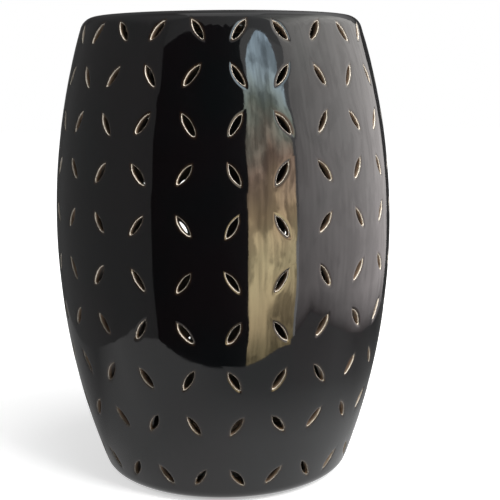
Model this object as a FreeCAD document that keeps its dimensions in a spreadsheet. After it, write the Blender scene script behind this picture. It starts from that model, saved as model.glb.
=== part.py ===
import FreeCAD, Part
import math
import os
import Sketcher

# Pierced ceramic garden stool: a barrel of glazed clay on four felt pads.
# The potter joins two walls, a seat slab and a foot ring with half laps, and
# backs each seam with a coil of clay. Lengths are in millimetres and angles in
# degrees. Heights are measured from the underside of the clay, which stands on
# the pads, and the pads stand on z = 0.

SIZES = {
    # Outside of the barrel
    "body_height": 457,
    "belly_height": 248,
    "belly_radius": 169.5,
    "rim_radius": 135.5,
    "base_radius": 124,
    "shoulder_radius": 16,
    "foot_radius": 14,
    # Clay and its joints
    "wall": 8,
    "inner_corner_radius": 7,
    "lap_width": 8,
    "slip_gap": 0.2,
    "coil_radius": 4,
    # Seat slab, foot ring and pads
    "seat_radius": 112,
    "foot_ring_radius": 104,
    "foot_ring_width": 20,
    "pad_radius": 8,
    "pad_thickness": 3,
    # Leaf piercings, in rows that are counted down from the seat
    "columns": 24,
    "leaf_length": 24,
    "leaf_width": 8.5,
    "leaf_lean": 33,
    "top_row_drop": 17,
    "upper_row_start": 23,
    "upper_row_squeeze": 0.9,
    "lower_row_start": 26.5,
    "bottom_row_stretch": 10,
    "bottom_row_rise": 26,
    "column_turn": 2.45,
    "column_bow": 0.14,
    "bow_row": 6.4,
}
ROWS_PER_WALL = 5
PAD_COUNT = 4

# How a sketch numbers its points and its two axes
START, END, CENTRE = 1, 2, 3
LEVEL_AXIS, UPRIGHT_AXIS = -1, -2

doc = FreeCAD.newDocument("garden_stool")
sheet = doc.addObject("Spreadsheet::Sheet", "sizes")
for row, (alias, size) in enumerate(SIZES.items(), start=1):
    sheet.set(f"A{row}", alias)
    sheet.set(f"B{row}", str(size))
    sheet.setAlias(f"B{row}", alias)
doc.recompute()


def number(formula):
    """What a formula of the sheet's sizes comes to."""
    return float(sheet.evalExpression(formula))


def arc_formula(rise, step):
    """Radius of a circle that is upright at one point and passes another."""
    return f"((({rise})^2 + ({step})^2) / (2 * ({step})))"


# Each wall's side is one arc, upright at the belly, that aims at the corner
# which the side and the seat or the base would make if it weren't rounded.
UPPER_RISE = "(sizes.body_height - sizes.belly_height)"
UPPER_ARC = arc_formula(UPPER_RISE, "sizes.belly_radius - sizes.rim_radius")
LOWER_ARC = arc_formula("sizes.belly_height", "sizes.belly_radius - sizes.base_radius")
SEAT_UNDERSIDE = "sizes.body_height - sizes.wall"
SEAT_REBATE = "sizes.body_height - sizes.wall / 2"
LAP_TOP = "sizes.belly_height + sizes.lap_width"
LAP_FACE = "sizes.belly_radius - sizes.wall / 2"
TONGUE_FACE = f"{LAP_FACE} - sizes.slip_gap"

# Two columns of leaves, one of each lean, repeat all the way round. They are
# cut in one sector, which starts half a column before the mean place of its
# first column: the columns bow, so the top row's turn differs from the rest.
COLUMN = "360 / sizes.columns"
SECTOR = "720 / sizes.columns"
MEAN_BOW = "sizes.column_bow * (sizes.bow_row - 1)^2 / 2"
SECTOR_START = f"(sizes.column_turn + {MEAN_BOW} - {COLUMN} / 2)"


def new_body(name):
    """A body named for its node, standing on the pads."""
    body = doc.addObject("PartDesign::Body", name)
    body.Label = name
    body.setExpression("Placement.Base.z", "sizes.pad_thickness")
    return body


def origin_part(body, role):
    """A plane or axis of the body's own origin."""
    return next(item for item in body.Origin.OriginFeatures if item.Role == role)


def around(turn):
    """A placement turned about the stool's axis, for a sketch on the upright plane."""
    return f"placement(vector(0; 0; 0); rotation(vector(0; 1; 0); {turn}))"


def new_sketch(body, name, offset=None):
    """A sketch on the body's upright plane, with x outwards and y upwards."""
    sketch = body.newObject("Sketcher::SketchObject", name)
    sketch.AttachmentSupport = (origin_part(body, "XZ_Plane"), [""])
    sketch.MapMode = "FlatFace"
    if offset:
        sketch.setExpression("AttachmentOffset", offset)
    return sketch


def line(x0, y0, x1, y1):
    """A straight edge: its geometry, then where a walk round enters and leaves."""
    return Part.LineSegment(FreeCAD.Vector(x0, y0, 0), FreeCAD.Vector(x1, y1, 0)), START, END


def arc(x, y, radius, first, last):
    """An arc from its first angle to its last, whichever way round that is."""
    circle = Part.Circle(FreeCAD.Vector(x, y, 0), FreeCAD.Vector(0, 0, 1), radius)
    low, high = sorted((math.radians(first), math.radians(last)))
    ends = (START, END) if first < last else (END, START)
    return Part.ArcOfCircle(circle, low, high), *ends


def path(*points):
    """Straight edges through a list of points."""
    return [line(*first, *last) for first, last in zip(points, points[1:])]


def draw_loop(sketch, edges, smooth=()):
    """Draw edges joined end to end, tangent after those that are smooth."""
    sketch.addGeometry([geometry for geometry, *ends in edges])
    for index, (geometry, entry, leave) in enumerate(edges):
        following = (index + 1) % len(edges)
        kind = "Tangent" if index in smooth else "Coincident"
        join = Sketcher.Constraint(kind, index, leave, following, edges[following][1])
        sketch.addConstraint(join)
        if isinstance(geometry, Part.LineSegment):
            along = geometry.EndPoint - geometry.StartPoint
            direction = "Horizontal" if abs(along.x) > abs(along.y) else "Vertical"
            sketch.addConstraint(Sketcher.Constraint(direction, index))


def bind(sketch, kind, formula, *place):
    """Add a dimension to a sketch and tie it to a formula."""
    index = sketch.addConstraint(Sketcher.Constraint(kind, *place, number(formula)))
    sketch.setExpression(f"Constraints[{index}]", formula)


def bind_x(sketch, edge, formula, point=START):
    """Tie a point's distance from the stool's axis."""
    bind(sketch, "DistanceX", formula, LEVEL_AXIS, START, edge, point)


def bind_y(sketch, edge, formula, point=START):
    """Tie a point's height above the underside of the clay."""
    bind(sketch, "DistanceY", formula, LEVEL_AXIS, START, edge, point)


def on_axis(sketch, edge, axis, point=START):
    """Keep a point on the sketch's level or upright axis."""
    sketch.addConstraint(Sketcher.Constraint("PointOnObject", edge, point, axis))


def revolve(body, sketch, angle="360"):
    """Turn a section round the stool's axis."""
    turned = body.newObject("PartDesign::Revolution", body.Name + "_turned")
    turned.Profile = sketch
    turned.ReferenceAxis = (origin_part(body, "Z_Axis"), [""])
    turned.setExpression("Angle", angle)
    body.Tip = turned
    doc.recompute()
    return turned


def wall_section(body, way, end, side_arc, corner, slab, inner_seam, belly_path):
    """Draw a wall's section, from the belly seam up (way 1) or down (way -1).

    The outside is the side's arc, rounded into a flat end, which turns in to a
    rebate for half of a slab's rim. The inside is the same outline one wall's
    thickness in. It stops at the height inner_seam, and belly_path holds the
    points from there round to the belly.
    """
    belly, outer, wall = number("sizes.belly_height"), number(side_arc), number("sizes.wall")
    centre, inner = number("sizes.belly_radius") - outer, outer - wall
    level, radius = number(end), number(corner)
    inner_radius = number("sizes.inner_corner_radius")
    floor, back = level - way * wall / 2, level - way * wall

    def rounding(side_radius, corner_radius, corner_level):
        """Where a corner's centre lies, and its turn where it leaves the side."""
        rise, reach = way * (corner_level - belly) - corner_radius, side_radius - corner_radius
        return centre + math.sqrt(reach ** 2 - rise ** 2), way * math.degrees(math.asin(rise / reach))

    outside_x, outside_turn = rounding(outer, radius, level)
    inside_x, inside_turn = rounding(inner, inner_radius, back)
    rim, lap = number(f"{slab} + sizes.slip_gap"), number(f"{slab} - sizes.lap_width")
    seam_rise = number(inner_seam) - belly
    seam_turn = math.degrees(math.asin(seam_rise / inner))
    seam = (centre + math.sqrt(inner ** 2 - seam_rise ** 2), belly + seam_rise)

    sketch = new_sketch(body, body.Name + "_section", around(f"{SECTOR_START} - 90"))
    draw_loop(sketch, [
        arc(centre, belly, outer, 0, outside_turn),
        arc(outside_x, level - way * radius, radius, outside_turn, way * 90),
        *path((outside_x, level), (rim, level), (rim, floor), (lap, floor), (lap, back), (inside_x, back)),
        arc(inside_x, back - way * inner_radius, inner_radius, way * 90, inside_turn),
        arc(centre, belly, inner, inside_turn, seam_turn),
        *path(seam, *belly_path),
    ], smooth=(0, 1, 6, 7))
    belly_point = START if way > 0 else END
    bind_y(sketch, 0, "sizes.belly_height", CENTRE)
    bind_y(sketch, 0, "sizes.belly_height", belly_point)
    bind_x(sketch, 0, "sizes.belly_radius", belly_point)
    bind(sketch, "Radius", side_arc, 0)
    bind(sketch, "Radius", corner, 1)
    bind_x(sketch, 3, f"{slab} + sizes.slip_gap")
    bind_x(sketch, 5, f"{slab} - sizes.lap_width")
    bind(sketch, "Radius", "sizes.inner_corner_radius", 7)
    sketch.addConstraint(Sketcher.Constraint("Coincident", 0, CENTRE, 8, CENTRE))
    bind(sketch, "Radius", f"{side_arc} - sizes.wall", 8)
    return sketch


def leaf_sketch(body, name, rise, side_arc, turn, lean):
    """A leaf, pointed at both ends, on the plane that touches the wall there."""
    tilt = f"asin(0 - {rise} / {side_arc})"
    distance = f"sizes.belly_radius - {side_arc} + sqrt({side_arc}^2 - {rise}^2)"
    place = (f"{around(turn)} * placement(vector(0; sizes.belly_height + {rise}; {distance}); "
             f"rotation(vector(1; 0; 0); {tilt}) * rotation(vector(0; 0; 1); {lean}))")
    sketch = new_sketch(body, name, place)
    radius_formula = "(sizes.leaf_length^2 + sizes.leaf_width^2) / (4 * sizes.leaf_width)"
    radius = number(radius_formula)
    half = math.degrees(math.asin(number("sizes.leaf_length") / 2 / radius))
    across = radius - number("sizes.leaf_width") / 2
    draw_loop(sketch, [arc(-across, 0, radius, -half, half), arc(across, 0, radius, 180 - half, 180 + half)])
    on_axis(sketch, 0, LEVEL_AXIS, CENTRE)
    on_axis(sketch, 0, UPRIGHT_AXIS, START)
    on_axis(sketch, 0, UPRIGHT_AXIS, END)
    bind(sketch, "DistanceY", "sizes.leaf_length", 0, START, 0, END)
    bind(sketch, "Radius", radius_formula, 0)
    sketch.addConstraint(Sketcher.Constraint("Equal", 0, 1))
    return sketch


def pierce(body, rises, side_arc, first_row, row_step):
    """Cut a wall's leaves in its one sector, row by row from the belly."""
    for step, rise in enumerate(rises):
        row = first_row + row_step * step
        for column in range(2):
            turn = f"sizes.column_turn + sizes.column_bow * ({row} - sizes.bow_row)^2 + {column} * {COLUMN}"
            lean = "0 - sizes.leaf_lean" if (row + column) % 2 else "sizes.leaf_lean"
            name = f"leaf_row_{row}_column_{column + 1}"
            sketch = leaf_sketch(body, name, rise, side_arc, turn, lean)
            before = body.Shape.Volume
            cut = body.newObject("PartDesign::Pocket", name + "_cut")
            cut.Profile = sketch
            cut.setExpression("Length", "1.5 * sizes.wall")
            doc.recompute()
            if not cut.Shape.Volume < before:
                raise RuntimeError(f"{name} cuts nothing")


def repeat_sector(body):
    """Repeat a wall's finished sector all the way round."""
    ring = body.newObject("PartDesign::PolarPattern", body.Name + "_all_round")
    ring.TransformMode = "Whole shape"
    ring.Axis = (origin_part(body, "Z_Axis"), [""])
    ring.Angle = 360
    ring.setExpression("Occurrences", "sizes.columns / 2")
    ring.Refine = False
    body.Tip = ring
    doc.recompute()


def upper_wall():
    """The wall above the belly, whose foot is rebated inside to lap the lower one."""
    body = new_body("upper_wall")
    belly, lap_top = number("sizes.belly_height"), number(LAP_TOP)
    face, radius = number(LAP_FACE), number("sizes.belly_radius")
    sketch = wall_section(body, 1, "sizes.body_height", UPPER_ARC, "sizes.shoulder_radius",
                          "sizes.seat_radius", LAP_TOP, [(face, lap_top), (face, belly), (radius, belly)])
    bind_y(sketch, 2, "sizes.body_height")
    bind_y(sketch, 4, SEAT_REBATE)
    bind_y(sketch, 6, SEAT_UNDERSIDE)
    bind_y(sketch, 9, LAP_TOP)
    bind_x(sketch, 10, LAP_FACE)
    revolve(body, sketch, SECTOR)
    last = ROWS_PER_WALL - 1
    pitch = (f"({UPPER_RISE} - sizes.top_row_drop - sizes.upper_row_start"
             f" + {last ** 2} * sizes.upper_row_squeeze) / {last}")
    rises = [f"(sizes.upper_row_start + {step} * {pitch} - {step ** 2} * sizes.upper_row_squeeze)"
             for step in range(ROWS_PER_WALL)]
    pierce(body, rises, UPPER_ARC, ROWS_PER_WALL, -1)
    repeat_sector(body)
    return body


def lower_wall():
    """The wall below the belly, whose tongue stands up inside the upper one."""
    body = new_body("lower_wall")
    belly, lap_top = number("sizes.belly_height"), number(LAP_TOP)
    face, radius = number(TONGUE_FACE), number("sizes.belly_radius")
    inside = radius - number("sizes.wall")
    sketch = wall_section(body, -1, "0", LOWER_ARC, "sizes.foot_radius", "sizes.foot_ring_radius",
                          "sizes.belly_height",
                          [(inside, lap_top), (face, lap_top), (face, belly), (radius, belly)])
    on_axis(sketch, 2, LEVEL_AXIS)
    bind_y(sketch, 4, "sizes.wall / 2")
    bind_y(sketch, 6, "sizes.wall")
    bind_y(sketch, 9, "sizes.belly_height")
    bind_y(sketch, 10, LAP_TOP)
    bind_x(sketch, 11, TONGUE_FACE)
    revolve(body, sketch, SECTOR)
    last = ROWS_PER_WALL - 1
    lowest = "sizes.belly_height - sizes.bottom_row_rise"
    pitch = f"({lowest} - sizes.bottom_row_stretch - sizes.lower_row_start) / {last}"
    rises = [f"(0 - sizes.lower_row_start - {step} * {pitch})" for step in range(last)]
    rises.append(f"(0 - ({lowest}))")
    pierce(body, rises, LOWER_ARC, ROWS_PER_WALL + 1, 1)
    repeat_sector(body)
    return body


def stepped_slab(name, wide, step, narrow, radius, inside=None):
    """A flat slab or ring whose rim is wide at one face and laps at the other."""
    body = new_body(name)
    rim, lap = number(radius), number(f"{radius} - sizes.lap_width - sizes.slip_gap")
    wide_y, step_y, narrow_y = number(wide), number(step), number(narrow)
    inner = number(inside) if inside else 0
    sketch = new_sketch(body, name + "_section")
    draw_loop(sketch, path((inner, wide_y), (rim, wide_y), (rim, step_y), (lap, step_y),
                           (lap, narrow_y), (inner, narrow_y), (inner, wide_y)))
    if wide_y:
        bind_y(sketch, 0, wide)
    else:
        on_axis(sketch, 0, LEVEL_AXIS)
    bind_x(sketch, 1, radius)
    bind_y(sketch, 2, step)
    bind_x(sketch, 3, f"{radius} - sizes.lap_width - sizes.slip_gap")
    bind_y(sketch, 4, narrow)
    if inside:
        bind_x(sketch, 5, inside)
    else:
        on_axis(sketch, 5, UPRIGHT_AXIS)
    revolve(body, sketch)
    return body


def seam_coil(name, x, y, facing):
    """A half-round coil pressed over a seam, with its round side facing inside."""
    body = new_body(name)
    sketch = new_sketch(body, name + "_section")
    across, up, radius = number(x), number(y), number("sizes.coil_radius")
    round_side = arc(across, up, radius, facing - 90, facing + 90)
    first, last = round_side[0].StartPoint, round_side[0].EndPoint
    draw_loop(sketch, [round_side, line(last.x, last.y, first.x, first.y)])
    sketch.addConstraint(Sketcher.Constraint("PointOnObject", 0, CENTRE, 1))
    bind_x(sketch, 0, x, CENTRE)
    bind_y(sketch, 0, y, CENTRE)
    bind(sketch, "Radius", "sizes.coil_radius", 0)
    revolve(body, sketch)
    return body


def felt_pads():
    """Pads stuck under the foot ring, evenly round it from half a step."""
    pads = []
    for index in range(PAD_COUNT):
        pad = doc.addObject("Part::Cylinder", f"foot_pad_{index + 1}")
        pad.Label = pad.Name
        pad.setExpression("Radius", "sizes.pad_radius")
        pad.setExpression("Height", "sizes.pad_thickness")
        turn = 360 / PAD_COUNT * (index + 0.5)
        distance = "(sizes.foot_ring_radius - sizes.foot_ring_width / 2)"
        pad.setExpression("Placement.Base.x", f"{distance} * cos({turn})")
        pad.setExpression("Placement.Base.y", f"{distance} * sin({turn})")
        pads.append(pad)
    return pads


def check_and_write(nodes):
    """Stop if anything failed, then write each node to its own file."""
    doc.recompute()
    failed = [item.Name for item in doc.Objects if {"Invalid", "Error"} & set(item.State)]
    loose = [item.Name for item in doc.Objects
             if item.TypeId == "Sketcher::SketchObject" and not item.FullyConstrained]
    if failed or loose:
        raise RuntimeError(f"failed objects {failed}, sketches not fully constrained {loose}")
    os.makedirs("parts", exist_ok=True)
    for node in nodes:
        shape = node.Shape
        if shape.isNull() or not shape.isValid() or len(shape.Solids) != 1:
            raise RuntimeError(f"{node.Label} isn't one valid solid")
        shape.exportStep(f"parts/{node.Label}.step")
        print(node.Label, "volume", round(shape.Volume), "faces", len(shape.Faces))


check_and_write([
    upper_wall(),
    lower_wall(),
    stepped_slab("seat_slab", "sizes.body_height", SEAT_REBATE, SEAT_UNDERSIDE, "sizes.seat_radius"),
    stepped_slab("foot_ring", "0", "sizes.wall / 2", "sizes.wall", "sizes.foot_ring_radius",
                 "sizes.foot_ring_radius - sizes.foot_ring_width"),
    seam_coil("seat_seam_coil", "sizes.seat_radius - sizes.lap_width", SEAT_UNDERSIDE, -90),
    seam_coil("belly_seam_coil", "sizes.belly_radius - sizes.wall - sizes.slip_gap", LAP_TOP, 180),
    seam_coil("foot_seam_coil", "sizes.foot_ring_radius - sizes.lap_width", "sizes.wall", 90),
    *felt_pads(),
])
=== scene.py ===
import math

import bpy
import numpy as np
from mathutils import Matrix, Vector


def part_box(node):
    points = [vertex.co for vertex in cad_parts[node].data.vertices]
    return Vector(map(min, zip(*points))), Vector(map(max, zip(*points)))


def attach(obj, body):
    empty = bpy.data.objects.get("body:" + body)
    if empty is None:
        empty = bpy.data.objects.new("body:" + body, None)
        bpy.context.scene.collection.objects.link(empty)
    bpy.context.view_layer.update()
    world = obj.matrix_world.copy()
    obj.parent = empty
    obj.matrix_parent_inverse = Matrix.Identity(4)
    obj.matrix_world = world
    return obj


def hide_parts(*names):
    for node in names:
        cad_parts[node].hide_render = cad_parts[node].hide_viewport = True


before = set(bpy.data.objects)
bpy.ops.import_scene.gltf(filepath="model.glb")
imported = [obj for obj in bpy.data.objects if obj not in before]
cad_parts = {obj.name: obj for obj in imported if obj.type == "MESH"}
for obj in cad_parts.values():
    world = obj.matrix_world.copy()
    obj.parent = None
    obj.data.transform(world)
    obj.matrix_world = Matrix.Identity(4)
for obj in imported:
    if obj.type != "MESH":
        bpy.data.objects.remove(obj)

bl_info = {
    "name": "Pierced Garden Stool",
    "version": (1, 0, 0),
    "blender": (4, 5, 0),
    "location": "View3D > Sidebar > Stool",
    "description": "Dresses a ceramic garden stool: glazed pierced walls, seat, foot and felt pads",
    "category": "Add Mesh",
}

MILLIMETRE = 0.001
ROWS_PER_WALL = 5
UP = np.array([0, 0, 1.0])
# The step where the seat and the foot ring lie in the wall, and the clearance for slip.
LAP_WIDTH, SLIP_GAP = 0.008, 0.0002
# A cell is the patch of wall round one leaf. Its edge has this many steps on each
# of its four sides, and the leaf's outline has as many steps as the whole edge.
SIDE_STEPS = 12
EDGE_STEPS = 4 * SIDE_STEPS
# The attribute lip_mm well out on the glazed skin, and inside the hollow.
GLAZED, INSIDE = 6.0, -20.0


def a_length(name, default, description):
    """A property in metres."""
    return bpy.props.FloatProperty(name=name, description=description, default=default, unit="LENGTH")


def an_angle(name, degrees, description):
    """A property in radians, from its default in degrees."""
    return bpy.props.FloatProperty(
        name=name, description=description, default=math.radians(degrees), subtype="ANGLE")


def a_color(name, default, description):
    """A property of red, green and blue."""
    return bpy.props.FloatVectorProperty(
        name=name, description=description, default=default, subtype="COLOR")


class StoolSizes(bpy.types.PropertyGroup):
    """The sizes that the frame's boxes don't give."""

    rim_radius: a_length(
        "Rim radius", 0.1355, "Where the side and the seat would meet if the shoulder weren't rounded")
    base_radius: a_length(
        "Base radius", 0.124, "Where the side and the underside would meet if the foot weren't rounded")
    shoulder_radius: a_length("Shoulder radius", 0.016, "Rounding between the side and the seat")
    foot_radius: a_length("Foot radius", 0.014, "Rounding between the side and the underside")
    wall: a_length("Wall", 0.008, "Thickness of the clay")
    columns: bpy.props.IntProperty(
        name="Columns", description="Leaves in one row round the stool", default=24, min=4)
    leaf_length: a_length("Leaf length", 0.0211, "From tip to tip of a piercing, inside its lip")
    leaf_width: a_length("Leaf width", 0.0063, "Across the middle of a piercing, inside its lip")
    leaf_lean: an_angle("Leaf lean", 33, "How far a piercing leans from upright")
    tip_roundness: bpy.props.FloatProperty(
        name="Tip roundness", description="0 keeps a leaf's tips sharp, and more makes it like an ellipse",
        default=0.5, min=0, max=1)
    lip_radius: a_length("Lip radius", 0.0011, "Rounding of the glazed edge of a piercing")
    hand_wander: bpy.props.FloatProperty(
        name="Hand wander", description="How unevenly the leaves were cut by hand", default=1, min=0, max=2)
    throwing_wave: a_length("Throwing wave", 0.00022, "Depth of the soft unevenness of the glazed skin")
    seat_sag: a_length("Seat sag", 0.0004, "Depth of the soft unevenness of the seat")


class StoolFinish(bpy.types.PropertyGroup):
    """The colours of the glaze, the clay and the felt."""

    glaze: a_color("Glaze", (0.0022, 0.0021, 0.0022), "Black gloss glaze")
    thin_glaze: a_color("Thin glaze", (0.02, 0.012, 0.007), "Brown where the glaze runs thin beside a cut")
    arris: a_color("Arris", (0.76, 0.69, 0.58), "Pale clay showing along the cut edges")
    cut_clay: a_color("Cut clay", (0.22, 0.15, 0.1), "Glaze-stained clay inside a piercing")
    bare_clay: a_color("Bare clay", (0.42, 0.3, 0.2), "Unglazed fired clay")
    felt: a_color("Felt", (0.05, 0.048, 0.045), "Floor pads")


class StoolStudio(bpy.types.PropertyGroup):
    """The camera that looks at the stool."""

    camera_distance: a_length("Camera distance", 1.0378, "From the stool's axis")
    camera_height: a_length("Camera height", 0.4071, "Above the floor")
    camera_pitch: an_angle("Camera pitch", 10.0, "How far the camera looks down")
    camera_yaw: an_angle("Camera yaw", 1.47, "How far the camera looks to its right")
    camera_roll: an_angle("Camera roll", -0.5, "Turn about the line of sight")
    camera_lens: bpy.props.FloatProperty(
        name="Camera lens", description="Focal length on a 36 mm wide sensor", default=73.15)


def wall_shape(sizes, way):
    """Named sizes of one wall's outer section. Way is 1 above the belly and -1 below it."""
    upper_low, upper_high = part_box("upper_wall")
    lower_low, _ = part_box("lower_wall")
    belly_radius, belly = upper_high.x, upper_low.z
    rise = upper_high.z - belly if way > 0 else belly - lower_low.z
    step = belly_radius - (sizes.rim_radius if way > 0 else sizes.base_radius)
    side = (rise ** 2 + step ** 2) / (2 * step)
    corner = sizes.shoulder_radius if way > 0 else sizes.foot_radius
    centre = belly_radius - side
    reach = side - corner
    turn = math.asin((rise - corner) / reach)
    return {
        "way": way,
        "belly": belly,
        "rise": rise,
        "side": side,
        "centre": centre,
        "corner": corner,
        "corner_centre": centre + reach * math.cos(turn),
        "turn": turn,
        "side_end": side * turn,
        "corner_end": side * turn + corner * (math.pi / 2 - turn),
    }


def section(shape, length):
    """Radius, height and lean of the outer skin at a length measured along it from the belly.

    The skin is a large circle up to the corner, then the corner's small circle until
    it lies level, and then a level line towards the stool's axis.
    """
    lean_side = length / shape["side"]
    lean_corner = shape["turn"] + (length - shape["side_end"]) / shape["corner"]
    on_side = length <= shape["side_end"]
    on_level = length >= shape["corner_end"]
    lean = np.where(on_side, lean_side, np.where(on_level, math.pi / 2, lean_corner))
    radius = np.where(on_side, shape["centre"] + shape["side"] * np.cos(lean),
                      shape["corner_centre"] + shape["corner"] * np.cos(lean))
    radius = radius - np.where(on_level, length - shape["corner_end"], 0)
    rise = np.where(on_side, shape["side"] * np.sin(lean),
                    shape["rise"] - shape["corner"] * (1 - np.sin(lean)))
    return radius, shape["belly"] + shape["way"] * rise, lean


def skin_wave(turn, height, depth):
    """Soft unevenness of a thrown wall, always inwards: three slow waves round and up it."""
    waves = ((5, 41.0, 0.4), (9, -67.0, 2.1), (14, 88.0, 4.4))
    total = sum(0.5 + 0.5 * np.sin(count * turn + pitch * height + phase) for count, pitch, phase in waves)
    return depth * total / len(waves)


def away_from_axis(turn):
    """Level directions away from the stool's axis. Turn 0 faces the camera, and turns grow to its right."""
    return np.stack([np.sin(turn), -np.cos(turn), np.zeros_like(turn)], -1)


def skin_point(shape, turn, length, depth, wave):
    """Points at a depth under the outer skin, and the skin's outward directions there.

    The direction leans with the section, and by the slopes of the skin's wave, which
    are taken from its values a short step further round and along.
    """
    radius, height, lean = section(shape, length)
    across = np.stack([np.cos(turn), np.sin(turn), np.zeros_like(turn)], -1)
    outwards = away_from_axis(turn)
    level, steep = np.cos(lean)[..., None], shape["way"] * np.sin(lean)[..., None]
    normal = level * outwards + steep * UP
    along = shape["way"] * (-steep * outwards + level * UP)
    place = radius[..., None] * outwards + height[..., None] * UP
    fade = np.cos(lean)
    step = 0.0005

    def dip(turn_step, length_step):
        further_height = height + shape["way"] * length_step * np.cos(lean)
        return fade * skin_wave(turn + turn_step, further_height, wave)

    here = dip(0, 0)
    slope_across = (dip(step / radius, 0) - here) / step
    slope_along = (dip(0, step) - here) / step
    normal_bent = normal + slope_across[..., None] * across + slope_along[..., None] * along
    normal_bent /= np.linalg.norm(normal_bent, axis=-1, keepdims=True)
    return place - (depth + here)[..., None] * normal, normal_bent, across, along


def leaf_rows(shape):
    """Each row's number from the top, its length along the skin from the belly, and its turn.

    Above the belly the rows draw closer together towards the seat. Below it they are
    even, and the lowest stands further off. The turn grows with the square of the
    distance from a row just below the belly, which bows the columns.
    """
    steps, last = np.arange(ROWS_PER_WALL), ROWS_PER_WALL - 1
    if shape["way"] > 0:
        start, squeeze, end_margin = 0.023, 0.0009, 0.017
        pitch = (shape["rise"] - end_margin - start + squeeze * last ** 2) / last
        rise = start + pitch * steps - squeeze * steps ** 2
        row = ROWS_PER_WALL - steps
    else:
        start, further_off, end_margin = 0.0265, 0.010, 0.026
        lowest = shape["rise"] - end_margin
        pitch = (lowest - further_off - start) / last
        rise = start + pitch * steps
        rise[-1] = lowest
        row = ROWS_PER_WALL + 1 + steps
    length = shape["side"] * np.arcsin(rise / shape["side"])
    least_turn, bow, least_row = 2.45, 0.14, 6.4
    turn = np.radians(least_turn + bow * (row - least_row) ** 2)
    return row, length, turn


def leaf_outline(half_length, half_width, roundness, fuller):
    """A leaf's outline, anticlockwise from its upper tip, as points across and up.

    Both coordinates follow one angle t, which goes once round. The height is half the
    length times cos t. The width at that height is that of two circles that cross at
    the tips, mixed with an ellipse of the same size, which rounds the tips, the lower
    one most. Fuller makes one side wider and the other narrower.
    """
    t = np.linspace(0, 2 * math.pi, EDGE_STEPS, endpoint=False)
    height = half_length * np.cos(t)
    circle = (half_length ** 2 + half_width ** 2) / (2 * half_width)
    pointed = np.sqrt(np.maximum(circle ** 2 - height ** 2, 0)) - (circle - half_width)
    ellipse = half_width * np.abs(np.sin(t))
    side = -np.sign(np.sin(t)) * (1 + fuller * -np.sign(np.sin(t)))
    lower_bias = 0.8
    soft = np.minimum(roundness * (1 - lower_bias * np.cos(t)), 1)
    across = side * ((1 - soft) * pointed + soft * ellipse)
    return np.stack([across, height], -1)


def hand_cut_leaf(sizes, leans_right, wander):
    """A function of an offset, which gives a leaf's outline that far out, and its outward directions.

    Both are across and up from the leaf's place in its row. Wander holds ten random
    shares, which change the leaf's lean, length, width, place, fullness and tips, and
    ripple its edge.
    """
    lean = (-1 if leans_right else 1) * (sizes.leaf_lean + math.radians(4.5) * wander[0])
    half_length = sizes.leaf_length / 2 * (1 + 0.055 * wander[1])
    half_width = sizes.leaf_width / 2 * (1 + 0.12 * wander[2])
    shift = 0.0008 * wander[3:5]
    fuller = 0.1 * wander[5]
    roundness = sizes.tip_roundness * (1 + 0.5 * wander[6])
    ripple_depth = 0.00009
    tip_reach = 1.45
    spread = np.array([[math.cos(lean), math.sin(lean)], [-math.sin(lean), math.cos(lean)]])
    angle = np.linspace(0, 2 * math.pi, EDGE_STEPS, endpoint=False)
    waves = wander[7] * np.sin(3 * angle + 5 * wander[8]) + wander[9] * np.sin(5 * angle)

    def outline(offset):
        flat = leaf_outline(half_length + tip_reach * offset, half_width + offset, roundness, fuller)
        outward = np.roll(flat, -1, 0) - np.roll(flat, 1, 0)
        outward = np.stack([outward[:, 1], -outward[:, 0]], -1)
        outward /= np.linalg.norm(outward, axis=-1, keepdims=True)
        flat = flat + ripple_depth * waves[:, None] * outward
        return flat @ spread + shift, outward @ spread

    return outline


def cell_edge(low_turn, high_turn, low, high, half_turn):
    """A cell's edge, anticlockwise from its upper right corner, as turn and length upwards."""
    t = np.arange(SIDE_STEPS) / SIDE_STEPS
    top = np.stack([high_turn + half_turn * (1 - 2 * t), np.full(SIDE_STEPS, high)], -1)
    left = np.stack([high_turn - half_turn + (low_turn - high_turn) * t, high + (low - high) * t], -1)
    bottom = np.stack([low_turn - half_turn * (1 - 2 * t), np.full(SIDE_STEPS, low)], -1)
    right = np.stack([low_turn + half_turn + (high_turn - low_turn) * t, low + (high - low) * t], -1)
    return np.concatenate([top, left, bottom, right])


class SkinMesh:
    """Gathers rings of points that are joined into strips of four-sided faces."""

    def __init__(self):
        self.points, self.normals, self.lips, self.faces = [], [], [], []
        self.count = 0

    def add_grid(self, points, normals, lips):
        """Add rings of points (ring, step, axis) that close on themselves, and the strips between them."""
        rings, steps = points.shape[:2]
        self.points.append(points.reshape(-1, 3))
        self.normals.append(normals.reshape(-1, 3))
        self.lips.append(np.broadcast_to(lips, (rings, steps)).reshape(-1))
        ring, step = np.meshgrid(np.arange(rings - 1), np.arange(steps), indexing="ij")
        following = (step + 1) % steps
        here, there = self.count + ring * steps, self.count + (ring + 1) * steps
        self.faces.append(np.stack([here + step, here + following, there + following, there + step],
                                   -1).reshape(-1, 4))
        self.count += rings * steps

    def build(self, name):
        """Join points that lie together, drop faces that vanish, and make the object."""
        points, normals = np.concatenate(self.points), np.concatenate(self.normals)
        lips, faces = np.concatenate(self.lips), np.concatenate(self.faces)
        same_place = 2e-6
        grid = np.round(points / same_place).astype(np.int64)
        _, first, place = np.unique(grid, axis=0, return_index=True, return_inverse=True)
        faces = place.reshape(-1)[faces]
        mesh = bpy.data.meshes.new(name)
        rows = [list(dict.fromkeys(face)) for face in faces.tolist()]
        mesh.from_pydata(points[first].tolist(), [], [row for row in rows if len(row) > 2])
        lip = mesh.attributes.new("lip_mm", "FLOAT", "POINT")
        lip.data.foreach_set("value", lips[first].astype(np.float32))
        mesh.polygons.foreach_set("use_smooth", np.ones(len(mesh.polygons), bool))
        mesh.normals_split_custom_set_from_vertices(normals[first].tolist())
        return add_object(name, mesh)


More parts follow.
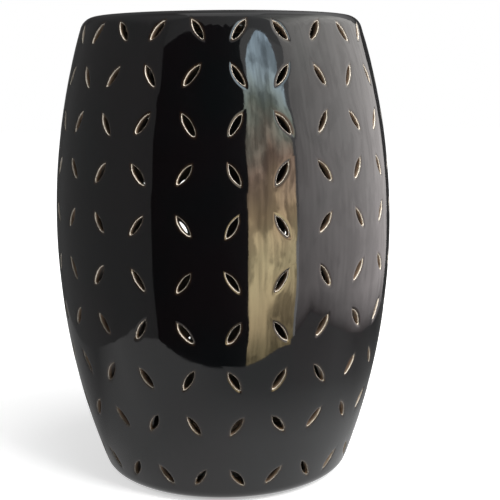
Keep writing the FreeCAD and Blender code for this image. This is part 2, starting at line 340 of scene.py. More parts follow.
def pierced_cells(mesh, shape, sizes, bounds, inner_bounds, boundary_turns, rng):
    """The wall's cells, each one surface from the outer skin through the leaf to the inner skin.

    In a cell the rings go from its edge to the leaf, roll off towards it, go over the
    rounded lip, down the cut, over the inner lip and out to the edge again on the
    inner skin. A ring between the edge and the leaf is a straight mix of the two
    outlines. Each ring has a depth under the skin, a lean of its outward direction from
    the skin's own towards the leaf's middle, and its lip_mm.
    """
    way, wall, lip = shape["way"], sizes.wall, sizes.lip_radius
    near, far = (0, 1) if way > 0 else (1, 0)
    half_turn = math.pi / sizes.columns
    inner_lip, outer_reach, inner_reach = 0.0006, 0.0032, 0.0012
    roll_off, mid_cut = 0.00018, 0.0035
    roll_rings = ((outer_reach, 0.0, 0.02), (0.002, 0.00007, 0.13))
    quarter = np.radians([15, 41, 66, 90])
    for index, (row, middle, row_turn) in enumerate(zip(*leaf_rows(shape))):
        low_turn, high_turn = boundary_turns[index + near], boundary_turns[index + far]
        middle_radius = float(section(shape, np.array(middle))[0])
        for column in range(sizes.columns):
            wander = rng.uniform(-1, 1, 10) * sizes.hand_wander
            leans_right = (row + column) % 2 == 1
            outline = hand_cut_leaf(sizes, leans_right, wander)
            column_turn = 2 * half_turn * column
            turn_middle = row_turn + column_turn
            edge, inner_edge = (
                np.roll(cell_edge(low_turn + column_turn, high_turn + column_turn,
                                  limits[index + near], limits[index + far], half_turn),
                        0 if leans_right else -SIDE_STEPS, axis=0)
                for limits in (bounds, inner_bounds))

            def leaf(offset):
                """The leaf's outline, that far out, as turn and length along the skin."""
                flat = outline(offset)[0]
                return np.stack([turn_middle + flat[:, 0] / middle_radius, middle + way * flat[:, 1]], -1)

            outer, inner = leaf(outer_reach), leaf(inner_reach)
            rings = [(edge * (1 - share) + outer * share, 0, 0, GLAZED) for share in (0, 0.5)]
            rings += [(leaf(offset), dip, slope, (offset - lip + lip * math.pi / 2) / MILLIMETRE)
                      for offset, dip, slope in roll_rings]
            rings += [(leaf(lip * (1 - math.sin(bend))), roll_off + lip * (1 - math.cos(bend)),
                       bend, lip * (math.pi / 2 - bend) / MILLIMETRE) for bend in quarter]
            rings += [(leaf(0), depth, math.pi / 2, -depth / MILLIMETRE)
                      for depth in (mid_cut, wall - inner_lip)]
            rings += [(leaf(inner_lip * (1 - math.cos(bend))), wall - inner_lip * (1 - math.sin(bend)),
                       math.pi / 2 + bend, -wall / MILLIMETRE) for bend in np.radians([45, 90])]
            rings += [(inner * (1 - share) + inner_edge * share, wall, math.pi, INSIDE)
                      for share in (0, 0.5, 1)]

            flat, depths, leans, lips = (np.array(part) for part in zip(*rings))
            depths = depths[:, None] + np.zeros(EDGE_STEPS)
            points, normal, across, along = skin_point(shape, flat[..., 0], flat[..., 1], depths,
                                                       sizes.throwing_wave)
            outward = outline(0)[1]
            inwards = -(outward[:, 0][:, None] * across + way * outward[:, 1][:, None] * along)
            leans = leans[:, None, None]
            normals = np.cos(leans) * normal + np.sin(leans) * inwards
            mesh.add_grid(points, normals, lips[:, None])


def plain_rings(mesh, shape, stops, turn, columns, wave):
    """Unpierced strips round the stool through stops.

    A stop is "skin" with a length along the skin and a depth under it, or "free" with
    a radius, a height and the two parts of its outward direction.
    """
    steps = columns * SIDE_STEPS
    turns = turn - math.pi / columns + np.arange(steps) * 2 * math.pi / steps
    points, normals = [], []
    for stop in stops:
        if stop[0] == "skin":
            _, length, depth = stop
            lengths, depths = np.full(steps, length), np.full(steps, depth)
            point, normal, _, _ = skin_point(shape, turns, lengths, depths, wave)
            normals.append(normal if depth == 0 else -normal)
        else:
            _, radius, height, normal_out, normal_up = stop
            outwards = away_from_axis(turns)
            point = radius * outwards + height * UP
            normal = normal_out * outwards + normal_up * UP
            normals.append(normal / np.linalg.norm(normal, axis=-1, keepdims=True))
        points.append(point)
    order = slice(None) if shape["way"] > 0 else slice(None, None, -1)
    points, normals = np.array(points)[:, order], np.array(normals)[:, order]
    lips = [GLAZED if stop[0] == "skin" and stop[2] == 0 else INSIDE for stop in stops]
    # The glaze reaches the first free stop after the outer skin.
    for index, stop in enumerate(stops):
        if stop[0] == "free" and stops[index - 1][0] == "skin" and stops[index - 1][2] == 0:
            lips[index] = GLAZED
    mesh.add_grid(points, normals, np.array(lips)[:, None])


def glazed_wall(sizes, way, name):
    """One wall: its pierced cells, and the plain strips at the belly and round the end."""
    shape = wall_shape(sizes, way)
    _, lengths, turns = leaf_rows(shape)
    _, _, other_turns = leaf_rows(wall_shape(sizes, -way))
    belly_strip, inner_strip, end_gap = 0.0066, 0.0092, 0.0165
    between = (lengths[1:] + lengths[:-1]) / 2
    bounds = [belly_strip, *between, lengths[-1] + end_gap]
    inner_bounds = [inner_strip, *between, lengths[-1] + end_gap]
    boundary_turns = [(turns[0] + other_turns[0]) / 2, *((turns[1:] + turns[:-1]) / 2), turns[-1]]
    mesh = SkinMesh()
    seed = 11 if way > 0 else 23
    rng = np.random.default_rng(seed)
    pierced_cells(mesh, shape, sizes, bounds, inner_bounds, boundary_turns, rng)

    wall, wave = sizes.wall, sizes.throwing_wave
    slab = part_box("seat_slab" if way > 0 else "foot_ring")[1].x
    end = shape["belly"] + way * shape["rise"]
    last = bounds[-1]
    round_end = np.linspace(max(last, shape["side_end"]), shape["corner_end"], 7)[1:]
    level_end = shape["corner_end"] + shape["corner_centre"] - slab
    skin = [("skin", length, 0) for length in (last, *round_end, (shape["corner_end"] + level_end) / 2)]
    rebate = [
        ("free", slab, end, 0, way),
        ("free", slab, end - way * wall / 2, -1, way),
        ("free", slab - LAP_WIDTH, end - way * wall / 2, -1, way),
        ("free", slab - LAP_WIDTH, end - way * wall, -1, -way),
    ]
    inside = [("skin", length, wall) for length in (*round_end[::-1], last)]
    plain_rings(mesh, shape, skin + rebate + inside, boundary_turns[-1], sizes.columns, wave)

    belly, face = shape["belly"], shape["centre"] + shape["side"] - wall / 2
    lap_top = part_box("lower_wall")[1].z
    if way > 0:
        seam_length = lap_top - belly
        middle = [("skin", inner_strip, wall), ("skin", seam_length, wall),
                  ("free", face, lap_top, -1, -1), ("free", face, belly, -1, -1), ("skin", 0, 0)]
    else:
        inner, lap_face = face - wall / 2, face - SLIP_GAP
        middle = [("skin", inner_strip, wall), ("skin", 0, wall), ("free", inner, lap_top, -1, 1),
                  ("free", lap_face, lap_top, 1, 1), ("free", lap_face, belly, 1, 1), ("skin", 0, 0)]
    middle.append(("skin", belly_strip, 0))
    plain_rings(mesh, shape, middle, boundary_turns[0], sizes.columns, wave)
    return mesh.build(name)


def turned_piece(name, profile, steps=192, dip=None, knead=0.0):
    """A piece turned about the stool's axis from a closed section, or one from axis to axis.

    Each section point is radius, height and the two parts of its outward direction. A
    section that ends on the axis closes in one point there. Faces point outwards when
    the section runs so that its signed area is positive, so it is reversed otherwise.
    Dip lowers what faces up by a function of place, and leans it by that function's
    slopes. Knead draws the section towards its middle by up to that share, in waves
    round the piece, as fingers do.
    """
    profile = np.array(profile, float)
    following = np.roll(profile, -1, axis=0)
    if (profile[:, 0] * following[:, 1] - following[:, 0] * profile[:, 1]).sum() < 0:
        profile = profile[::-1]
    turns = np.linspace(0, 2 * math.pi, steps, endpoint=False)
    outwards = away_from_axis(turns)
    middle = profile[:, :2].mean(0)
    fingers = ((23, 0.3), (37, 1.9), (61, 4.0))
    waves = sum(0.5 + 0.5 * np.sin(count * turns + phase) for count, phase in fingers) / len(fingers)
    radius, height = (place[:, None] + (centre - place[:, None]) * knead * waves
                      for place, centre in zip(profile[:, :2].T, middle))
    points = radius[..., None] * outwards + height[..., None] * UP
    normals = profile[:, 2, None, None] * outwards + profile[:, 3, None, None] * UP
    if dip:
        upward = (profile[:, 3] == 1)[:, None]
        step = 0.001
        x, y = points[..., 0], points[..., 1]
        here = dip(x, y)
        points[..., 2] -= upward * here
        normals[..., 0] += upward * (dip(x + step, y) - here) / step
        normals[..., 1] += upward * (dip(x, y + step) - here) / step
    normals /= np.linalg.norm(normals, axis=-1, keepdims=True)
    mesh = SkinMesh()
    mesh.add_grid(points, normals, np.array(GLAZED))
    return mesh.build(name)


def arc(across, level, radius, degrees):
    """Section points on a circle about (across, level), each with its outward direction."""
    return [(across + radius * math.cos(bend), level + radius * math.sin(bend),
             math.cos(bend), math.sin(bend)) for bend in np.radians(degrees)]


def seat_dip(rim, depth):
    """A function of place: how far the fired slab sank there, by three slow waves across it.

    They die out at its rim with the sixth power of the radius.
    """
    swells = ((21, 13, 0.5), (-17, 34, 2.0), (47, 9, 4.0))

    def dip(x, y):
        fade = np.maximum(1 - (np.hypot(x, y) / rim) ** 6, 0)
        waves = sum(np.sin(along * x + across * y + phase) for along, across, phase in swells)
        return depth * fade * (0.5 + 0.5 * waves / len(swells))

    return dip


def seat_profile():
    """The seat slab's section, from the middle of its top round its stepped rim to the middle below."""
    low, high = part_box("seat_slab")
    rim, middle = high.x, (low.z + high.z) / 2
    lap = rim - LAP_WIDTH - SLIP_GAP
    top = [(radius, high.z, 0, 1) for radius in np.linspace(0, rim, 25)]
    return [*top, (rim, middle, 1, -1), (lap, middle, 1, -1), (lap, low.z, 1, -1), (0, low.z, 0, -1)]


def add_object(name, data):
    """A new object of the scene that holds a mesh, a lamp or a camera."""
    made = bpy.data.objects.new(name, data)
    bpy.context.scene.collection.objects.link(made)
    return made


def empty_tree(owner):
    """The node tree of a material or a world, with nothing in it."""
    owner.use_nodes = True
    owner.node_tree.nodes.clear()
    return owner.node_tree


def add_node(tree, kind, settings=None, values=None, links=None):
    """One shader node, with its settings, the constants on its sockets, and what feeds it."""
    made = tree.nodes.new(kind)
    for key, value in (settings or {}).items():
        setattr(made, key, value)
    for key, value in (values or {}).items():
        made.inputs[key].default_value = value
    for key, source in (links or {}).items():
        tree.links.new(source, made.inputs[key])
    return made


def new_material(name):
    """An empty node material, its shader, and the object's own coordinates."""
    material = bpy.data.materials.new(name)
    tree = empty_tree(material)
    shader = add_node(tree, "ShaderNodeBsdfPrincipled")
    add_node(tree, "ShaderNodeOutputMaterial", links={"Surface": shader.outputs["BSDF"]})
    place = add_node(tree, "ShaderNodeTexCoord").outputs["Object"]
    return material, tree, shader, place


def noise(tree, place, scale, detail=3.0, rough=0.55):
    """Soft noise between 0 and 1, with so many patches to a metre."""
    values = {"Scale": scale, "Detail": detail, "Roughness": rough}
    return add_node(tree, "ShaderNodeTexNoise", values=values, links={"Vector": place}).outputs["Fac"]


def ranged(tree, source, low, high, to_low=0.0, to_high=1.0):
    """A value carried from one range to another, smoothly at both ends."""
    smooth = {"interpolation_type": "SMOOTHSTEP"}
    values = {"From Min": low, "From Max": high, "To Min": to_low, "To Max": to_high}
    return add_node(tree, "ShaderNodeMapRange", smooth, values, {"Value": source}).outputs["Result"]


def maths(tree, operation, first, second):
    """Two values worked together. Either may be a plain number."""
    made = add_node(tree, "ShaderNodeMath", {"operation": operation})
    for socket, value in zip(made.inputs, (first, second)):
        if isinstance(value, (int, float)):
            socket.default_value = value
        else:
            tree.links.new(value, socket)
    return made.outputs["Value"]


def blend_colors(tree, share, first, second):
    """A mix of two colours. Either may be a plain colour."""
    made = add_node(tree, "ShaderNodeMix", {"data_type": "RGBA"}, links={"Factor": share})
    for socket, value in ((made.inputs["A"], first), (made.inputs["B"], second)):
        if hasattr(value, "links"):
            tree.links.new(value, socket)
        else:
            socket.default_value = (*value, 1)
    return made.outputs["Result"]


def scaled(color, factor):
    """A colour made lighter or darker."""
    return tuple(min(1.0, part * factor) for part in color)


def shades(tree, share, color, low, high):
    """A mix of two shades of a colour, each the colour times a factor."""
    return blend_colors(tree, share, scaled(color, low), scaled(color, high))


def add_relief(tree, shader, height, strength, distance):
    """Shade a surface as if it rose by a share of a distance, where the height is 1."""
    values = {"Strength": strength, "Distance": distance}
    bump = add_node(tree, "ShaderNodeBump", values=values, links={"Height": height})
    tree.links.new(bump.outputs["Normal"], shader.inputs["Normal"])


def glaze_material(finish):
    """Black gloss glaze that breaks to pale clay on the arrises and stains the cuts brown.

    The attribute lip_mm grows outwards over the rounded lip of a leaf: below 0 is
    the cut, 0 to about 1.7 the lip itself, and more the open skin. The pale arrises
    are darkened towards the foot and the left: painted shade, standing for light that
    comes from the upper right. The cut darkens with depth and the hollow's clay is near
    black: painted shade. On the level top the gloss is rubbed satin by use.
    """
    material, tree, shader, place = new_material("gloss_black_glaze")
    lip = add_node(tree, "ShaderNodeAttribute", {"attribute_name": "lip_mm"}).outputs["Fac"]
    ragged = maths(tree, "MULTIPLY", maths(tree, "SUBTRACT", noise(tree, place, 420, 4), 0.5), 1.1)
    edge = maths(tree, "ADD", lip, ragged)

    clouds = noise(tree, place, 11, 3)
    warm, cool = (tuple(part * factor for part, factor in zip(finish.glaze, tint))
                  for tint in ((1.3, 0.95, 1.1), (0.8, 1.1, 1.2)))
    glaze = blend_colors(tree, ranged(tree, clouds, 0.35, 0.65), warm, cool)
    glaze = blend_colors(tree, ranged(tree, edge, 1.5, 3.2), finish.thin_glaze, glaze)

    stain = noise(tree, place, 160, 4)
    cut = shades(tree, stain, finish.cut_clay, 0.5, 1.3)
    # Painted shade: the cut darkens with depth, and the clay of the hollow is a near-black copy of the cut
    # clay.
    inside = shades(tree, noise(tree, place, 40), finish.cut_clay, 0.08, 0.18)
    cut = blend_colors(tree, ranged(tree, edge, -6.5, -1.5), inside, cut)
    pale = shades(tree, stain, finish.arris, 0.8, 1.15)
    parts = add_node(tree, "ShaderNodeSeparateXYZ", links={"Vector": place}).outputs
    # Painted shade: the pale arrises fade to a dark copy towards the foot and the left, where less light
    # falls, with some random tone from the noise.
    arris_tone_and_painted_light = maths(tree, "ADD", ranged(tree, parts["Z"], 0.04, 0.25, 0, 0.45), noise(tree, place, 60, 3))
    arris_tone_and_painted_light = maths(tree, "ADD", arris_tone_and_painted_light, ranged(tree, parts["X"], -0.16, -0.03, -0.28, 0))
    pale = blend_colors(tree, ranged(tree, arris_tone_and_painted_light, 0.4, 0.9), scaled(finish.arris, 0.26), pale)
    bare = blend_colors(tree, ranged(tree, edge, -0.8, 0.3), cut, pale)
    glazed = ranged(tree, edge, 0.6, 1.15)
    color = blend_colors(tree, glazed, bare, glaze)
    tree.links.new(color, shader.inputs["Base Color"])

    smear = noise(tree, place, 24, 4)
    seat_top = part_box("seat_slab")[1].z
    rubbed = ranged(tree, parts["Z"], seat_top - 0.002, seat_top - 0.0008)
    satin = maths(tree, "MULTIPLY", rubbed, ranged(tree, smear, 0.3, 0.7, 0.44, 0.54))
    gloss = maths(tree, "ADD", ranged(tree, smear, 0.3, 0.7, 0.03, 0.06), satin)
    dull = ranged(tree, stain, 0.3, 0.7, 0.45, 0.6)
    rough = add_node(tree, "ShaderNodeMix", {"data_type": "FLOAT"},
                     links={"Factor": glazed, "A": dull, "B": gloss}).outputs["Result"]
    tree.links.new(rough, shader.inputs["Roughness"])

    peel = noise(tree, place, 170, 2)
    fine = noise(tree, place, 900, 2)
    pits = add_node(tree, "ShaderNodeTexVoronoi", values={"Scale": 240.0}, links={"Vector": place})
    pit = ranged(tree, pits.outputs["Distance"], 0.0, 0.16)
    relief = maths(tree, "ADD", peel, maths(tree, "MULTIPLY", fine, 0.12))
    relief = maths(tree, "ADD", relief, maths(tree, "MULTIPLY", pit, 0.5))
    add_relief(tree, shader, relief, 0.16, 0.0001)
    shader.inputs["IOR"].default_value = 1.52
    return material


def clay_material(finish):
    """Unglazed fired clay: a sandy, speckled, matt body."""
    material, tree, shader, place = new_material("sandy_clay")
    body = shades(tree, noise(tree, place, 30, 5), finish.bare_clay, 0.78, 1.15)
    speck = ranged(tree, noise(tree, place, 900, 2), 0.62, 0.7)
    color = blend_colors(tree, speck, body, scaled(finish.bare_clay, 0.3))
    tree.links.new(color, shader.inputs["Base Color"])
    tree.links.new(ranged(tree, noise(tree, place, 60), 0.3, 0.7, 0.72, 0.9), shader.inputs["Roughness"])
    relief = maths(tree, "ADD", noise(tree, place, 1300, 4), noise(tree, place, 120, 3))
    add_relief(tree, shader, relief, 0.5, 0.0003)
    return material


def felt_material(finish):
    """Pressed wool felt: short tangled fibres, with paler flecks."""
    material, tree, shader, place = new_material("pressed_felt")
    fibres = noise(tree, place, 2200, 5, 0.7)
    color = shades(tree, ranged(tree, fibres, 0.35, 0.7), finish.felt, 0.6, 2.2)
    tree.links.new(color, shader.inputs["Base Color"])
    shader.inputs["Roughness"].default_value = 0.95
    shader.inputs["Sheen Weight"].default_value = 0.4
    shader.inputs["Sheen Roughness"].default_value = 0.6
    add_relief(tree, shader, fibres, 0.8, 0.0004)
    return material


FINISHES = {
    "black_glaze": ("gloss_black_glaze", glaze_material),
    "bare_clay": ("sandy_clay", clay_material),
    "felt": ("pressed_felt", felt_material),
}


def finish_piece(context, piece, slot, node):
    """Give a piece its material, hide the part it replaces, and hang it on the root body."""
    name, maker = FINISHES[slot]
    piece.data.materials.append(bpy.data.materials.get(name) or maker(context.scene.stool_finish))
    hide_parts(node)
    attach(piece, "root")


class STOOL_OT_add_walls(bpy.types.Operator):
    """Add the upper and the lower glazed wall, with their leaf piercings"""

    bl_idname = "stool.add_walls"
    bl_label = "Pierced Walls"

    def execute(self, context):
        sizes = context.scene.stool_sizes
        finish_piece(context, glazed_wall(sizes, 1, "glazed_upper_wall"), "black_glaze", "upper_wall")
        finish_piece(context, glazed_wall(sizes, -1, "glazed_lower_wall"), "black_glaze", "lower_wall")
        return {"FINISHED"}


class STOOL_OT_add_seat(bpy.types.Operator):
    """Add the flat glazed seat slab"""

    bl_idname = "stool.add_seat"
    bl_label = "Seat Slab"

    def execute(self, context):
        sizes = context.scene.stool_sizes
        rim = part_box("seat_slab")[1].x
        seat = turned_piece("glazed_seat", seat_profile(), steps=sizes.columns * SIDE_STEPS,
                            dip=seat_dip(rim, sizes.seat_sag))
        finish_piece(context, seat, "black_glaze", "seat_slab")
        return {"FINISHED"}


class STOOL_OT_add_foot_ring(bpy.types.Operator):
    """Add the bare clay ring that the stool stands on"""

    bl_idname = "stool.add_foot_ring"
    bl_label = "Foot Ring"

    def execute(self, context):
        low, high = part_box("foot_ring")
        rim, middle = high.x, (low.z + high.z) / 2
        breadth, soft = 0.020, 0.0015
        inner, lap = rim - breadth + soft, rim - LAP_WIDTH - SLIP_GAP
        profile = arc(inner, low.z + soft, soft, (180, 210, 240, 270))
        profile += [(rim, low.z, 0, -1), (rim, middle, 1, 1), (lap, middle, 1, 1), (lap, high.z, 1, 1)]
        profile += arc(inner, high.z - soft, soft, (90, 120, 150, 180))
        ring = turned_piece("bare_foot_ring", [*profile, profile[0]])
        finish_piece(context, ring, "bare_clay", "foot_ring")
        return {"FINISHED"}


class STOOL_OT_add_seam_coils(bpy.types.Operator):
    """Add the three pressed coils that back the seams inside"""

    bl_idname = "stool.add_seam_coils"
    bl_label = "Seam Coils"

    def execute(self, context):
        coils = (("seat_seam_coil", "seat_coil", -90), ("belly_seam_coil", "belly_coil", 180),
                 ("foot_seam_coil", "foot_coil", 90))
        for node, name, facing in coils:
            low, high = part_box(node)
            radius = (high.z - low.z) / 2 if facing == 180 else high.z - low.z
            across = high.x if facing == 180 else high.x - radius
            level = {-90: high.z, 180: (low.z + high.z) / 2, 90: low.z}[facing]
            profile = arc(across, level, radius, np.linspace(facing + 90, facing - 90, 13))
            coil = turned_piece(name, [*profile, profile[0]], knead=0.14)
            finish_piece(context, coil, "bare_clay", node)
        return {"FINISHED"}


class STOOL_OT_add_pads(bpy.types.Operator):
    """Add the felt pads under the foot ring"""

    bl_idname = "stool.add_pads"
    bl_label = "Felt Pads"

    def execute(self, context):
        for index in range(1, 5):
            node = f"foot_pad_{index}"
            low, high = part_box(node)
            middle, radius = (low + high) / 2, (high.x - low.x) / 2
            soft = 0.0006
            profile = [(0, high.z, 0, 1), (radius - soft, high.z, 0, 1), (radius, high.z - soft, 1, 0.4),
                       (radius, low.z + soft, 1, -0.4), (radius - soft, low.z, 0, -1), (0, low.z, 0, -1)]
            pad = turned_piece(f"felt_pad_{index}", profile, steps=48)
            pad.data.transform(Matrix.Translation((middle.x, middle.y, 0)))
            finish_piece(context, pad, "felt", node)
        return {"FINISHED"}


def card_material(name, top, colors, patches, streaks):
    """A glow from the card's own attribute, coloured from the floor to the top, patchy and streaked.

    The colours follow the height, bent by a slow noise. Patches and streaks each take
    away up to their own share of the glow, streaks by a noise that is drawn out upwards.
    """
    material = bpy.data.materials.new(name)
    tree = empty_tree(material)
    place = add_node(tree, "ShaderNodeTexCoord").outputs["Object"]
    height = add_node(tree, "ShaderNodeSeparateXYZ", links={"Vector": place}).outputs["Z"]
    bend = maths(tree, "MULTIPLY", maths(tree, "SUBTRACT", noise(tree, place, 9, 3), 0.5), 0.16)
    share = maths(tree, "DIVIDE", maths(tree, "ADD", height, bend), top)
    ramp = add_node(tree, "ShaderNodeValToRGB", links={"Fac": share})
    stops = ramp.color_ramp.elements
    for index, color in enumerate(colors):
        stop = stops[index] if index < 2 else stops.new(1.0)
        stop.position, stop.color = index / max(1, len(colors) - 1), (*color, 1)
    glow = add_node(tree, "ShaderNodeAttribute", {"attribute_name": "glow"}).outputs["Fac"]
    clouds = ranged(tree, noise(tree, place, 15, 4), 0.4, 0.56, 1 - patches, 1.0)
    stretched = add_node(tree, "ShaderNodeMapping", values={"Scale": (36, 36, 5)}, links={"Vector": place})
    drawn_out = noise(tree, stretched.outputs["Vector"], 1.0, 4, 0.62)
    folds = ranged(tree, drawn_out, 0.36, 0.62, 1 - streaks, 1.0)
    glow = maths(tree, "MULTIPLY", glow, maths(tree, "MULTIPLY", clouds, folds))
    light = add_node(tree, "ShaderNodeEmission", links={"Color": ramp.outputs["Color"], "Strength": glow})
    add_node(tree, "ShaderNodeOutputMaterial", links={"Surface": light.outputs["Emission"]})
    return material


def stage_card(name, points, glow, colors=((1, 1, 1), (1, 1, 1)), patches=0.0, streaks=0.0):
    """A studio card that only gloss sees, on a grid of points (row, column, axis), with a glow at each."""
    points = np.asarray(points, float)
    rows, columns = points.shape[:2]
    row, column = np.meshgrid(np.arange(rows - 1), np.arange(columns - 1), indexing="ij")
    first = (row * columns + column).reshape(-1)
    mesh = bpy.data.meshes.new(name)
    mesh.from_pydata(points.reshape(-1, 3).tolist(), [],
                     np.stack([first, first + 1, first + columns + 1, first + columns], -1).tolist())
    glow = np.broadcast_to(glow, (rows, columns)).astype(np.float32)
    mesh.attributes.new("glow", "FLOAT", "POINT").data.foreach_set("value", glow.reshape(-1))
    top = max(points[..., 2].max(), MILLIMETRE)
    mesh.materials.append(card_material(name, float(top), colors, patches, streaks))
    card = add_object(name, mesh)
    card.visible_camera = card.visible_diffuse = card.visible_shadow = False
    card.visible_transmission = card.visible_volume_scatter = False


def upright_card(name, path, heights, **looks):
    """A card that stands on a path of x, y and glow. Each height is a z and a factor for the glow there."""
    path, heights = np.array(path, float), np.array(heights, float)
    points = np.empty((len(heights), len(path), 3))
    points[..., :2] = path[:, :2]
    points[..., 2] = heights[:, :1]
    stage_card(name, points, heights[:, 1:] * path[:, 2], **looks)


def area_lamp(name, place, target, width, energy):
    """A soft square lamp that looks at a point, and that gloss doesn't show."""
    lamp = bpy.data.lights.new(name, "AREA")
    lamp.shape, lamp.size, lamp.energy = "SQUARE", width, energy
    holder = add_object(name, lamp)
    holder.location = place
    holder.rotation_euler = (Vector(target) - Vector(place)).to_track_quat("-Z", "Y").to_euler()
    holder.visible_glossy = False


def seen_directly(tree):
    """1 for rays from the camera, or through or off glass and gloss, and 0 for the light itself."""
    path = add_node(tree, "ShaderNodeLightPath")
    either = maths(tree, "MAXIMUM", path.outputs["Is Camera Ray"], path.outputs["Is Glossy Ray"])
    return maths(tree, "MAXIMUM", either, path.outputs["Is Transmission Ray"])


class STOOL_OT_add_stage(bpy.types.Operator):
    """Add the pale floor, the lamps, the studio cards and the camera"""

    bl_idname = "stool.add_stage"
    bl_label = "Stage"

    def execute(self, context):
        scene, studio = context.scene, context.scene.stool_studio
        self.add_floor()
        self.add_world(scene)
        area_lamp("overhead_lamp", (0.7, -0.5, 2.1), (0, 0, 0.2), width=1.6, energy=42)
        area_lamp("side_lamp", (1.4, -1.3, 1.8), (0, 0, 0.25), width=1.2, energy=54)
        self.add_cards()
        self.add_camera(scene, studio)
        scene.view_settings.view_transform = "Standard"
        return {"FINISHED"}

    def add_cards(self):
        """Dark and bright cards round the stool, which draw the reflections in the glaze."""
        front, left, right, back, top = -0.375, -0.5, 0.5, 0.6, 2.2
        black_edge, opening, next_jamb, lintel = -0.31, 0.078, 0.33, 0.63
        right_end = 0.505
        upright_card(
            "left_card",
            ((left, back, 0.08), (-0.44, 0.17, 0.16), (-0.45, -0.1, 0.26), (-0.45, -0.3, 0.3),
             (black_edge, front, 0.28)),
            ((0, 1), (0.7, 1), (1.1, 1.7), (top, 2)))
        upright_card(
            "black_card",
            ((black_edge, front, 0.028), (0.0, front, 0.03), (opening, front, 0.07)),
            ((0, 1), (lintel, 1)))
        upright_card(
            "lintel_card",
            ((black_edge, front, 0.35), (0.0, front, 0.5), (next_jamb, front, 0.75)),
            ((lintel, 1), (top, 1)))
        self.add_window_card(front, opening, lintel)
        upright_card(
            "right_card",
            ((next_jamb, front, 2.2), (right, front, 2.6), (right, -0.2, 3.0), (right, 0.0, 3.0),
             (right, 0.25, 2.0), (right, 0.5, 1.3)),
            ((0, 0.15), (0.03, 0.45), (0.09, 0.8), (0.3, 1), (0.62, 1.05), (0.8, 1.3), (1.2, 0.5),
             (top, 0.3)),
            colors=((0.98, 0.9, 0.9), (0.96, 0.97, 0.92), (1, 1, 1)), patches=0.12, streaks=0.12)
        upright_card(
            "back_card",
            ((left, back, 0.08), (-0.2, back, 0.08), (-0.08, back, 1.6), (0.08, back, 1.6),
             (0.2, back, 0.06), (right, back, 0.06), (right, right_end, 0.06)),
            ((0, 1), (lintel, 1)))
        upright_card(
            "high_card",
            ((left, back, 0.2), (0.1, back, 0.3), (right, back, 0.9), (right, right_end, 0.9)),
            ((lintel, 0.2), (1.2, 1), (top, 1.2)))
        across, along = np.meshgrid(np.linspace(left, right, 41), np.linspace(front, back, 41))
        right_glow = (np.interp(np.hypot(across, along), (0.2, 0.32, 0.45), (1.0, 0.55, 0.5))
                      * np.interp(along, (-0.12, 0.02, 0.3), (1, 0.5, 0.2)))
        left_glow = 0.72 * np.interp(along, (-0.15, 0.0), (1, 0.3))
        right_share = np.interp(across, (-0.12, 0.04), (0, 1))
        stage_card("floor_card", np.stack([across, along, np.full_like(along, MILLIMETRE)], -1),
                   right_share * right_glow + (1 - right_share) * left_glow)

    def add_window_card(self, front, opening, lintel):
        """A bright card, brown low down and pale blue high up, in front and right of the middle.

        Its top falls off with the cube of the distance from its middle.
        """
        jamb, middle, half_width, fall = 0.31, 0.19, 0.15, 0.55
        across = np.linspace(opening, jamb, 13)
        crown = np.minimum(1 - np.abs((across - middle) / half_width) ** 3 * fall, 1)
        window = np.empty((9, len(across), 3))
        window[..., 0] = across
        window[..., 1] = front
        window[..., 2] = np.linspace(0, 1, len(window))[:, None] * crown * lintel
        glow = np.interp(window[..., 2], (0, 0.16, 0.26, 0.4, 0.6), (6, 10.5, 10.5, 6.5, 9))
        colors = ((0.5, 0.4, 0.22), (0.9, 0.7, 0.4), (1.0, 0.83, 0.48), (0.95, 0.7, 0.42),
                  (0.68, 0.48, 0.36), (0.56, 0.64, 0.54), (0.7, 0.88, 0.98), (0.62, 0.8, 0.95))
        stage_card("window_card", window, glow, colors=colors, patches=0.5, streaks=0.4)

    def add_floor(self):
        """A pale floor, which glows where it is seen: not under the stool, and whitest far out."""
        half = 6.0
        mesh = bpy.data.meshes.new("floor")
        mesh.from_pydata([(-half, -half, 0), (half, -half, 0), (half, half, 0), (-half, half, 0)], [],
                         [(0, 1, 2, 3)])
        floor = add_object("floor", mesh)
        material = bpy.data.materials.new("pale_floor")
        tree = empty_tree(material)
        paper = add_node(tree, "ShaderNodeBsdfDiffuse", values={"Color": (0.82, 0.82, 0.82, 1)})
        place = add_node(tree, "ShaderNodeTexCoord").outputs["Object"]
        away = add_node(tree, "ShaderNodeVectorMath", {"operation": "LENGTH"}, links={"Vector": place})
        outside = ranged(tree, away.outputs["Value"], 0.1, 0.12)
        white = maths(tree, "MULTIPLY", outside, ranged(tree, away.outputs["Value"], 0.35, 1.1, 0.62, 1.0))
        lift = add_node(tree, "ShaderNodeEmission", values={"Color": (1, 1, 1, 1)},
                        links={"Strength": maths(tree, "MULTIPLY", seen_directly(tree), white)})
        both = add_node(tree, "ShaderNodeAddShader")
        tree.links.new(paper.outputs["BSDF"], both.inputs[0])
        tree.links.new(lift.outputs["Emission"], both.inputs[1])
        add_node(tree, "ShaderNodeOutputMaterial", links={"Surface": both.outputs["Shader"]})
        mesh.materials.append(material)

    def add_world(self, scene):
        """White where it is seen, and a plain grey light otherwise."""
        world = bpy.data.worlds.new("studio")
        tree = empty_tree(world)
        sky = add_node(tree, "ShaderNodeBackground", values={"Color": (1, 1, 1, 1)},
                       links={"Strength": ranged(tree, seen_directly(tree), 0, 1, 0.2, 1.0)})
        add_node(tree, "ShaderNodeOutputWorld", links={"Surface": sky.outputs["Background"]})
        scene.world = world

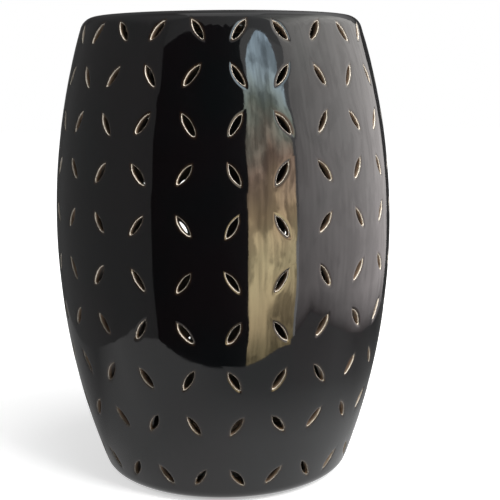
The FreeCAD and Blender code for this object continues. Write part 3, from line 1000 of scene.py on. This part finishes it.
    def add_camera(self, scene, studio):
        """The photograph's viewpoint: in front of the stool and a little below its seat."""
        camera = bpy.data.cameras.new("camera")
        camera.sensor_width, camera.lens = 36.0, studio.camera_lens
        camera.clip_start = 0.05
        holder = add_object("camera", camera)
        holder.matrix_world = (
            Matrix.Translation((0, -studio.camera_distance, studio.camera_height))
            @ Matrix.Rotation(-studio.camera_yaw, 4, "Z")
            @ Matrix.Rotation(math.pi / 2 - studio.camera_pitch, 4, "X")
            @ Matrix.Rotation(studio.camera_roll, 4, "Z")
        )
        scene.camera = holder


OPERATORS = (STOOL_OT_add_walls, STOOL_OT_add_seat, STOOL_OT_add_foot_ring, STOOL_OT_add_seam_coils,
             STOOL_OT_add_pads, STOOL_OT_add_stage)


class STOOL_PT_panel(bpy.types.Panel):
    """Lists the stool's pieces and its sizes"""

    bl_idname = "STOOL_PT_panel"
    bl_label = "Garden Stool"
    bl_space_type = "VIEW_3D"
    bl_region_type = "UI"
    bl_category = "Stool"

    def draw(self, context):
        column = self.layout.column(align=True)
        for operator in OPERATORS:
            column.operator(operator.bl_idname)
        for group in (context.scene.stool_sizes, context.scene.stool_finish, context.scene.stool_studio):
            box = self.layout.box()
            for name in group.__annotations__:
                box.prop(group, name)


GROUPS = {"stool_sizes": StoolSizes, "stool_finish": StoolFinish, "stool_studio": StoolStudio}


def register():
    for group in GROUPS.values():
        bpy.utils.register_class(group)
    for name, group in GROUPS.items():
        setattr(bpy.types.Scene, name, bpy.props.PointerProperty(type=group))
    for operator in OPERATORS:
        bpy.utils.register_class(operator)
    bpy.utils.register_class(STOOL_PT_panel)


def unregister():
    bpy.utils.unregister_class(STOOL_PT_panel)
    for operator in reversed(OPERATORS):
        bpy.utils.unregister_class(operator)
    for name in GROUPS:
        delattr(bpy.types.Scene, name)
    for group in reversed(GROUPS.values()):
        bpy.utils.unregister_class(group)


def main():
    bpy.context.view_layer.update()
    register()
    bpy.ops.stool.add_walls()
    bpy.ops.stool.add_seat()
    bpy.ops.stool.add_foot_ring()
    bpy.ops.stool.add_seam_coils()
    bpy.ops.stool.add_pads()
    bpy.ops.stool.add_stage()


if __name__ == "__main__":
    main()
